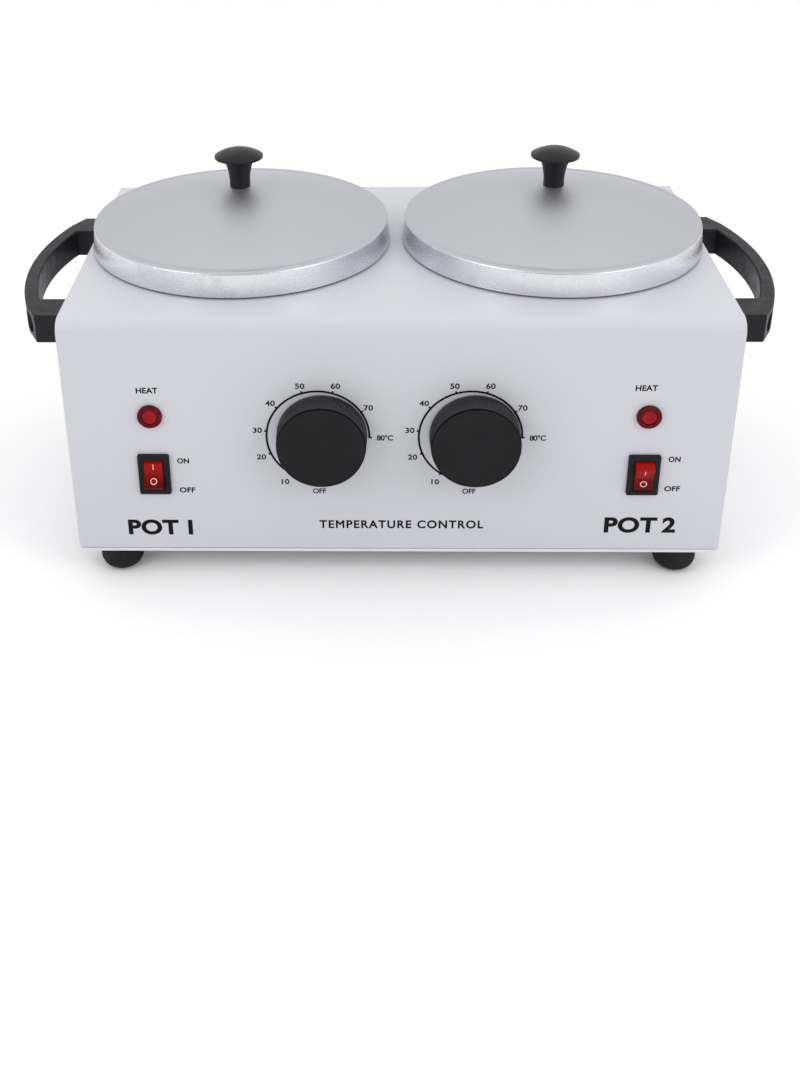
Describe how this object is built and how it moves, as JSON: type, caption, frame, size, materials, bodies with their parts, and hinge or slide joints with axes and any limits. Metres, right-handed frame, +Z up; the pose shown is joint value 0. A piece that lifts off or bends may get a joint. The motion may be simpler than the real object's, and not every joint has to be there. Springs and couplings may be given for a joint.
{
  "type": "double pot wax warmer",
  "caption": "Sheet-metal double wax warmer with lift-out aluminium pots under knobbed lids, thermostat dials, rocker switches, pilot lamps and side handles.",
  "frame": {"origin": "on the supporting surface, under the centre of the overall box", "axes": "+Z up, front panel faces -Y, +X to the right seen from the front"},
  "size_m": [0.373, 0.208, 0.1863],
  "materials": {
    "band_steel": "heat-tinted stainless",
    "capillary_copper": "bare copper",
    "case_paint": "satin pale silver-grey stove enamel",
    "dial_plastic": "black moulded, knurled side",
    "foot_rubber": "matt black rubber",
    "fuse_ceramic": "glazed white",
    "gland_nylon": "black nylon",
    "handle_plastic": "fine-grained black phenolic",
    "insulation_fibre": "ceramic fibre blanket",
    "lamp_lens_red": "red translucent",
    "lamp_ring_red": "deep red translucent",
    "lid_aluminium": "satin, blasted",
    "lid_knob_plastic": "black phenolic",
    "pot_aluminium": "spun, satin",
    "rocker_red": "translucent red",
    "spindle_brass": "machined",
    "switch_plastic": "black nylon",
    "terminal_block": "white nylon",
    "terminal_brass": "tinned brass",
    "thermostat_body": "cream phenolic",
    "tray_paint": "satin pale grey stove enamel",
    "well_aluminium": "spun, satin",
    "zinc_screws": "zinc plated"
  },
  "bodies": {
    "case": {"band_bolts": "zinc_screws", "base_screws": "zinc_screws", "base_tray": "tray_paint", "bulb_clips": "band_steel", "cable_gland": "gland_nylon", "capillary_left": "capillary_copper", "capillary_right": "capillary_copper", "earth_nut": "zinc_screws", "earth_stud": "zinc_screws", "foot_front_left": "foot_rubber", "foot_front_right": "foot_rubber", "foot_nuts": "zinc_screws", "foot_rear_left": "foot_rubber", "foot_rear_right": "foot_rubber", "foot_screws": "zinc_screws", "gland_nut": "gland_nylon", "handle_left": "handle_plastic", "handle_nuts": "zinc_screws", "handle_right": "handle_plastic", "handle_screws": "zinc_screws", "heater_well_left": "well_aluminium", "heater_well_right": "well_aluminium", "heating_band_left": "band_steel", "heating_band_right": "band_steel", "housing_wrap": "case_paint", "insulation_left": "insulation_fibre", "insulation_right": "insulation_fibre", "lamp_body_left": "lamp_ring_red", "lamp_body_right": "lamp_ring_red", "lamp_lens_left": "lamp_lens_red", "lamp_lens_right": "lamp_lens_red", "lamp_nuts": "switch_plastic", "side_panel_left": "case_paint", "side_panel_right": "case_paint", "switch_housing_left": "switch_plastic", "switch_housing_right": "switch_plastic", "switch_terminals": "terminal_brass", "terminal_block": "terminal_block", "thermal_fuse_left": "fuse_ceramic", "thermal_fuse_right": "fuse_ceramic", "thermostat_body_left": "thermostat_body", "thermostat_body_right": "thermostat_body", "thermostat_screws": "zinc_screws"},
    "pot_left_body": {"wax_pot_left": "pot_aluminium"},
    "lid_left_body": {"lid_cover_left": "lid_aluminium", "lid_knob_left": "lid_knob_plastic", "lid_screw_left": "zinc_screws", "lid_washer_left": "zinc_screws"},
    "dial_left_body": {"dial_knob_left": "dial_plastic", "dial_spindle_left": "spindle_brass"},
    "rocker_left_body": {"rocker_left": "rocker_red"},
    "pot_right_body": {"wax_pot_right": "pot_aluminium"},
    "lid_right_body": {"lid_cover_right": "lid_aluminium", "lid_knob_right": "lid_knob_plastic", "lid_screw_right": "zinc_screws", "lid_washer_right": "zinc_screws"},
    "dial_right_body": {"dial_knob_right": "dial_plastic", "dial_spindle_right": "spindle_brass"},
    "rocker_right_body": {"rocker_right": "rocker_red"}
  },
  "joints": [
    {"name": "pot_left_lift", "type": "slide", "parent": "case", "child": "pot_left_body", "axis": [0, 0, 1], "range_m": [0, 0.13]},
    {"name": "lid_left_lift", "type": "slide", "parent": "pot_left_body", "child": "lid_left_body", "axis": [0, 0, 1], "range_m": [0, 0.08]},
    {"name": "dial_left_turn", "type": "hinge", "parent": "case", "child": "dial_left_body", "pos_m": [-0.0355, -0.09, 0.08], "axis": [0, 1, 0], "range_deg": [0, 270]},
    {"name": "rocker_left_tilt", "type": "hinge", "parent": "case", "child": "rocker_left_body", "pos_m": [-0.1153, -0.0895, 0.0583], "axis": [1, 0, 0], "range_deg": [0, 24]},
    {"name": "pot_right_lift", "type": "slide", "parent": "case", "child": "pot_right_body", "axis": [0, 0, 1], "range_m": [0, 0.13]},
    {"name": "lid_right_lift", "type": "slide", "parent": "pot_right_body", "child": "lid_right_body", "axis": [0, 0, 1], "range_m": [0, 0.08]},
    {"name": "dial_right_turn", "type": "hinge", "parent": "case", "child": "dial_right_body", "pos_m": [0.0355, -0.09, 0.08], "axis": [0, 1, 0], "range_deg": [0, 270]},
    {"name": "rocker_right_tilt", "type": "hinge", "parent": "case", "child": "rocker_right_body", "pos_m": [0.1153, -0.0895, 0.0583], "axis": [1, 0, 0], "range_deg": [-24, 0]}
  ]
}
